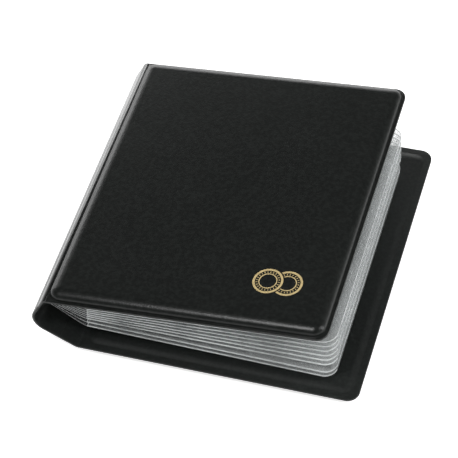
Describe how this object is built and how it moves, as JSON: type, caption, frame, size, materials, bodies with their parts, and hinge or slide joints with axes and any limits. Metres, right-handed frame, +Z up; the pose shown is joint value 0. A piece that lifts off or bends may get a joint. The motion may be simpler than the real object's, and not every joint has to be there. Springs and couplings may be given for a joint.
{
  "type": "coin album",
  "caption": "Pocket album for coins: two padded vinyl covers on a soft folding spine, with clear pocket leaves that turn like pages.",
  "frame": {"origin": "centre of the bounding box, on the surface that the album lies on", "axes": "+Z up; +X from the spine to the fore-edge; +Y along the spine, away from the emblem's edge"},
  "size_m": [0.149, 0.15, 0.0481],
  "materials": {
    "padded_vinyl": "black grained vinyl over foam",
    "spine_vinyl": "black grained vinyl, semi-gloss on the outside",
    "lining_vinyl": "black grained vinyl, satin",
    "foam": "open-cell foam sheet",
    "board": "grey pressed board",
    "gold_foil": "stamped gold foil, satin",
    "clear_film": "clear soft plastic film",
    "weld_bar": "clear film welded in a bar"
  },
  "bodies": {
    "back_cover": {"back_cover_skin": "padded_vinyl", "back_cover_foam": "foam", "back_cover_board": "board", "back_cover_lining": "lining_vinyl"},
    "spine_lower": {"spine_lower_skin": "spine_vinyl", "spine_lower_lining": "lining_vinyl"},
    "spine_upper": {"spine_upper_skin": "spine_vinyl", "spine_upper_lining": "lining_vinyl", "leaf_binding": "weld_bar"},
    "front_cover": {"front_cover_skin": "padded_vinyl", "front_cover_foam": "foam", "front_cover_board": "board", "front_cover_lining": "lining_vinyl", "front_cover_emblem": "gold_foil"},
    "leaf_1_strip": {"leaf_1_hinge_strip": "clear_film"},
    "leaf_1_page": {"leaf_1_page_film": "clear_film", "leaf_1_pocket_film": "clear_film"},
    "leaf_2_strip": {"leaf_2_hinge_strip": "clear_film"},
    "leaf_2_page": {"leaf_2_page_film": "clear_film", "leaf_2_pocket_film": "clear_film"},
    "leaf_3_strip": {"leaf_3_hinge_strip": "clear_film"},
    "leaf_3_page": {"leaf_3_page_film": "clear_film", "leaf_3_pocket_film": "clear_film"},
    "leaf_4_strip": {"leaf_4_hinge_strip": "clear_film"},
    "leaf_4_page": {"leaf_4_page_film": "clear_film", "leaf_4_pocket_film": "clear_film"},
    "leaf_5_strip": {"leaf_5_hinge_strip": "clear_film"},
    "leaf_5_page": {"leaf_5_page_film": "clear_film", "leaf_5_pocket_film": "clear_film"},
    "leaf_6_strip": {"leaf_6_hinge_strip": "clear_film"},
    "leaf_6_page": {"leaf_6_page_film": "clear_film", "leaf_6_pocket_film": "clear_film"},
    "leaf_7_strip": {"leaf_7_hinge_strip": "clear_film"},
    "leaf_7_page": {"leaf_7_page_film": "clear_film", "leaf_7_pocket_film": "clear_film"},
    "leaf_8_strip": {"leaf_8_hinge_strip": "clear_film"},
    "leaf_8_page": {"leaf_8_page_film": "clear_film", "leaf_8_pocket_film": "clear_film"}
  },
  "joints": [
    {"name": "back_crease_fold", "type": "hinge", "parent": "back_cover", "child": "spine_lower", "pos_m": [-0.05547, 0, 0.0042], "axis": [0, -1, 0], "range_deg": [0, 31]},
    {"name": "spine_bend", "type": "hinge", "parent": "spine_lower", "child": "spine_upper", "pos_m": [-0.07365, 0, 0.01774], "axis": [0, -1, 0], "range_deg": [0, 88.02]},
    {"name": "front_crease_fold", "type": "hinge", "parent": "spine_upper", "child": "front_cover", "pos_m": [-0.06764, 0, 0.03322], "axis": [0, -1, 0], "range_deg": [0, 56.1]},
    {"name": "leaf_1_turn", "type": "hinge", "parent": "spine_upper", "child": "leaf_1_strip", "pos_m": [-0.06794, 0, 0.02939], "axis": [0, -1, 0], "range_deg": [0, 76.52]},
    {"name": "leaf_1_page_fold", "type": "hinge", "parent": "leaf_1_strip", "child": "leaf_1_page", "pos_m": [-0.05106, 0, 0.02374], "axis": [0, -1, 0], "range_deg": [-20.82, 0]},
    {"name": "leaf_2_turn", "type": "hinge", "parent": "spine_upper", "child": "leaf_2_strip", "pos_m": [-0.06832, 0, 0.02869], "axis": [0, -1, 0], "range_deg": [0, 72.02]},
    {"name": "leaf_2_page_fold", "type": "hinge", "parent": "leaf_2_strip", "child": "leaf_2_page", "pos_m": [-0.05113, 0, 0.02243], "axis": [0, -1, 0], "range_deg": [-15.92, 0]},
    {"name": "leaf_3_turn", "type": "hinge", "parent": "spine_upper", "child": "leaf_3_strip", "pos_m": [-0.06871, 0, 0.02799], "axis": [0, -1, 0], "range_deg": [0, 67.52]},
    {"name": "leaf_3_page_fold", "type": "hinge", "parent": "leaf_3_strip", "child": "leaf_3_page", "pos_m": [-0.05131, 0, 0.02114], "axis": [0, -1, 0], "range_deg": [-11.02, 0]},
    {"name": "leaf_4_turn", "type": "hinge", "parent": "spine_upper", "child": "leaf_4_strip", "pos_m": [-0.0691, 0, 0.02729], "axis": [0, -1, 0], "range_deg": [0, 63.52]},
    {"name": "leaf_4_page_fold", "type": "hinge", "parent": "leaf_4_strip", "child": "leaf_4_page", "pos_m": [-0.05149, 0, 0.01963], "axis": [0, -1, 0], "range_deg": [-6.62, 0]},
    {"name": "leaf_5_turn", "type": "hinge", "parent": "spine_upper", "child": "leaf_5_strip", "pos_m": [-0.06949, 0, 0.02659], "axis": [0, -1, 0], "range_deg": [-69.02, 0]},
    {"name": "leaf_5_page_fold", "type": "hinge", "parent": "leaf_5_strip", "child": "leaf_5_page", "pos_m": [-0.05163, 0, 0.01826], "axis": [0, -1, 0], "range_deg": [-51.82, 0]},
    {"name": "leaf_6_turn", "type": "hinge", "parent": "spine_upper", "child": "leaf_6_strip", "pos_m": [-0.06988, 0, 0.02589], "axis": [0, -1, 0], "range_deg": [-71.02, 0]},
    {"name": "leaf_6_page_fold", "type": "hinge", "parent": "leaf_6_strip", "child": "leaf_6_page", "pos_m": [-0.05188, 0, 0.01672], "axis": [0, -1, 0], "range_deg": [-49.22, 0]},
    {"name": "leaf_7_turn", "type": "hinge", "parent": "spine_upper", "child": "leaf_7_strip", "pos_m": [-0.07026, 0, 0.02519], "axis": [0, -1, 0], "range_deg": [-70.52, 0]},
    {"name": "leaf_7_page_fold", "type": "hinge", "parent": "leaf_7_strip", "child": "leaf_7_page", "pos_m": [-0.0521, 0, 0.01406], "axis": [0, -1, 0], "range_deg": [-48.62, 0]},
    {"name": "leaf_8_turn", "type": "hinge", "parent": "spine_upper", "child": "leaf_8_strip", "pos_m": [-0.07065, 0, 0.02449], "axis": [0, -1, 0], "range_deg": [-70.02, 0]},
    {"name": "leaf_8_page_fold", "type": "hinge", "parent": "leaf_8_strip", "child": "leaf_8_page", "pos_m": [-0.05229, 0, 0.01115], "axis": [0, -1, 0], "range_deg": [-49.52, 0]}
  ],
  "couplings": [
    {"joint": "spine_bend", "follows": "back_crease_fold", "ratio": 2.8387},
    {"joint": "leaf_1_turn", "follows": "front_crease_fold", "ratio": 1.3636},
    {"joint": "leaf_1_page_fold", "follows": "front_crease_fold", "ratio": -0.37077},
    {"joint": "leaf_2_turn", "follows": "front_crease_fold", "ratio": 1.2834},
    {"joint": "leaf_2_page_fold", "follows": "front_crease_fold", "ratio": -0.28342},
    {"joint": "leaf_3_turn", "follows": "front_crease_fold", "ratio": 1.2032},
    {"joint": "leaf_3_page_fold", "follows": "front_crease_fold", "ratio": -0.19608},
    {"joint": "leaf_4_turn", "follows": "front_crease_fold", "ratio": 1.1319},
    {"joint": "leaf_4_page_fold", "follows": "front_crease_fold", "ratio": -0.11765},
    {"joint": "leaf_5_turn", "follows": "back_crease_fold", "ratio": -2.2258},
    {"joint": "leaf_5_page_fold", "follows": "back_crease_fold", "ratio": -1.671},
    {"joint": "leaf_6_turn", "follows": "back_crease_fold", "ratio": -2.2903},
    {"joint": "leaf_6_page_fold", "follows": "back_crease_fold", "ratio": -1.5871},
    {"joint": "leaf_7_turn", "follows": "back_crease_fold", "ratio": -2.2742},
    {"joint": "leaf_7_page_fold", "follows": "back_crease_fold", "ratio": -1.5677},
    {"joint": "leaf_8_turn", "follows": "back_crease_fold", "ratio": -2.2581},
    {"joint": "leaf_8_page_fold", "follows": "back_crease_fold", "ratio": -1.5968}
  ]
}
